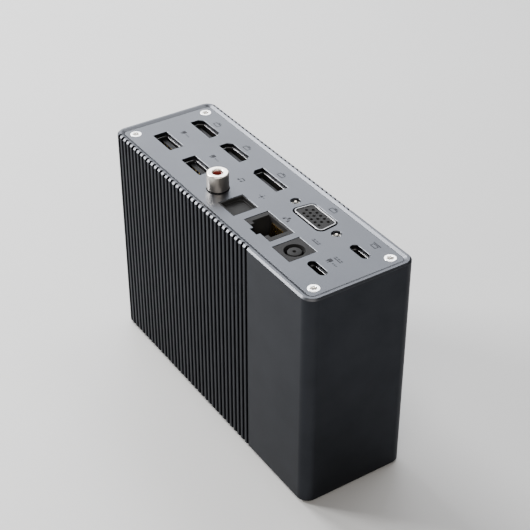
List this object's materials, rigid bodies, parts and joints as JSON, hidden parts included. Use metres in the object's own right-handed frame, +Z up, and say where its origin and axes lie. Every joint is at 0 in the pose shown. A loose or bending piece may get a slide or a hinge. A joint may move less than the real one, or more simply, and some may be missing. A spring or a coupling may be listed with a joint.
{
  "type": "laptop docking station",
  "caption": "Docking station stood on end: ribbed aluminium sleeve, light port panel on top with video, data, network, audio and power sockets, and boards inside.",
  "frame": {"origin": "on the table, under the middle of the sleeve", "axes": "+X along the sleeve towards its smooth end, -Y the ribbed face nearest the viewer, +Z up out of the port panel"},
  "size_m": [0.1324, 0.044, 0.0968],
  "materials": {
    "housing": "dark grey anodised, fine satin blast",
    "panel": "blue-grey anodised, fine satin blast",
    "bright_steel": "bright nickel plate",
    "shell_steel": "tinned stamped steel",
    "black_plastic": "moulded, low gloss",
    "grey_plastic": "moulded, fine texture",
    "red_plastic": "moulded, dark red",
    "gold_contact": "thin gold flash",
    "spacer_brass": "turned",
    "rubber": "matt",
    "board": "glass-fibre laminate under green solder mask",
    "chip": "moulded chip package",
    "pad": "soft thermal pad",
    "spreader": "milled, plain",
    "can": "drawn can"
  },
  "bodies": {
    "dock": {"back_heat_spreader": "spreader", "base_feet": "rubber", "base_plate": "housing", "base_plate_screws": "bright_steel", "board_connector": "black_plastic", "board_screws": "bright_steel", "board_spacers": "spacer_brass", "coax_jack_barrel": "bright_steel", "coax_jack_block": "black_plastic", "coax_jack_centre_contact": "gold_contact", "coax_jack_collar": "black_plastic", "coax_jack_insulator": "red_plastic", "crystals": "can", "display_port_contacts": "gold_contact", "display_port_shell": "shell_steel", "display_port_tongue": "black_plastic", "ethernet_contacts": "gold_contact", "ethernet_jack_block": "grey_plastic", "ethernet_transformer": "black_plastic", "front_heat_spreader": "spreader", "housing_sleeve": "housing", "hub_chips": "chip", "lower_board": "board", "monitor_port_contacts": "gold_contact", "monitor_port_insert": "grey_plastic", "monitor_port_jack_screws": "bright_steel", "monitor_port_shell": "shell_steel", "optical_emitter": "black_plastic", "optical_jack_block": "grey_plastic", "port_panel": "panel", "port_panel_screws": "bright_steel", "power_capacitors": "can", "power_inductors": "chip", "power_jack_block": "grey_plastic", "power_jack_centre_contact": "gold_contact", "power_jack_post": "grey_plastic", "power_jack_sleeve": "shell_steel", "shutter_pin": "shell_steel", "shutter_spring": "shell_steel", "thermal_pads": "pad", "upper_board": "board", "usb_a_contacts": "gold_contact", "usb_a_shells": "shell_steel", "usb_a_tongues": "black_plastic", "usb_c_contacts": "gold_contact", "usb_c_shells": "shell_steel", "usb_c_tongues": "black_plastic", "video_chips": "chip", "video_port_contacts": "gold_contact", "video_port_shells": "shell_steel", "video_port_tongues": "black_plastic"},
    "shutter": {"optical_shutter": "grey_plastic"}
  },
  "joints": [
    {"name": "shutter_hinge", "type": "hinge", "parent": "dock", "child": "shutter", "pos_m": [0.00435, -0.01315, 0.08755], "axis": [-1, 0, 0], "range_deg": [0, 82], "stiffness_Nm_per_rad": 0.0004, "springref_deg": -34.38, "deforming": ["shutter_spring"]}
  ]
}
